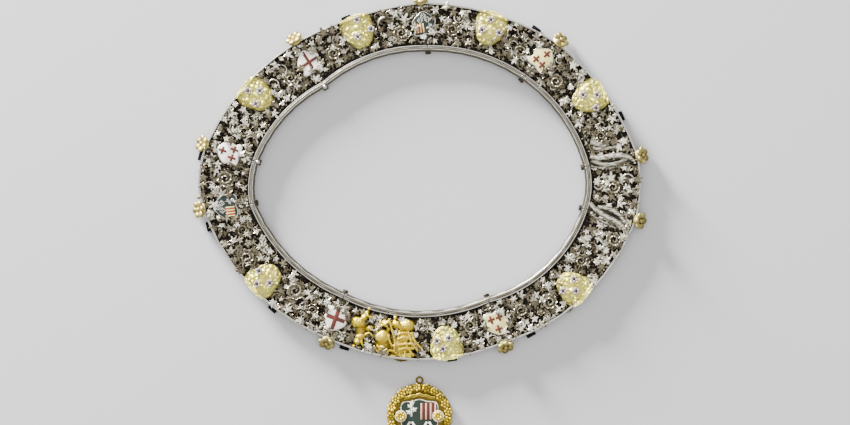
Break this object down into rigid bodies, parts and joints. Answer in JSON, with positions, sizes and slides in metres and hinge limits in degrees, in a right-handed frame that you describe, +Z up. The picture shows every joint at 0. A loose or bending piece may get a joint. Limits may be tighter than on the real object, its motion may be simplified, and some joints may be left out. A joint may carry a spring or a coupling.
{
  "type": "shooting guild chain with pendant",
  "caption": "Oval ceremonial shoulder collar of hinged silver plates with raised foliage, gilt mountains, enamelled shields and a round gilt pendant.",
  "frame": {"origin": "on the surface that the collar and its pendant lie on, below the middle of their common box", "axes": "+X across the shoulders to the wearer's left, +Y from the breast plate to the nape, +Z up out of the ornamented face"},
  "size_m": [0.4397, 0.4427, 0.0127],
  "materials": {
    "silver": "polished, slightly tarnished silver",
    "foliage_silver": "cast silver with blackened recesses",
    "trunk_silver": "cast silver, dark in the bark",
    "gilt": "satin fire gilding",
    "pale_gilt": "pale lemon gilding, grained",
    "enamel": "glossy opaque enamel in a silver border"
  },
  "bodies": {
    "root": {"link_1": "silver", "link_2": "silver", "link_3": "silver", "link_4": "silver", "link_5": "silver", "link_6": "silver", "link_7": "silver", "link_8": "silver", "link_9": "silver", "foliage_1": "foliage_silver", "foliage_2": "foliage_silver", "foliage_3": "foliage_silver", "foliage_4": "foliage_silver", "foliage_5": "foliage_silver", "foliage_6": "foliage_silver", "foliage_7": "foliage_silver", "foliage_8": "foliage_silver", "foliage_9": "foliage_silver", "pin_1": "gilt", "pin_2": "gilt", "pin_3": "gilt", "pin_4": "gilt", "pin_5": "gilt", "pin_6": "gilt", "pin_7": "gilt", "pin_8": "gilt", "pin_9": "gilt", "mountain_1": "pale_gilt", "mountain_2": "pale_gilt", "mountain_4": "pale_gilt", "mountain_5": "pale_gilt", "mountain_6": "pale_gilt", "mountain_8": "pale_gilt", "mountain_9": "pale_gilt", "shield_1": "enamel", "shield_2": "enamel", "shield_3": "enamel", "shield_4": "enamel", "shield_5": "enamel", "shield_6": "enamel", "shield_9": "enamel", "trunk_7": "trunk_silver", "trunk_8": "trunk_silver", "horse_and_rider": "gilt", "dragon": "gilt", "lady": "gilt", "pendant_wreath": "gilt", "pendant_shield": "enamel", "pendant_roundel_left": "gilt", "pendant_roundel_right": "gilt", "pendant_drape": "gilt"}
  },
  "joints": []
}
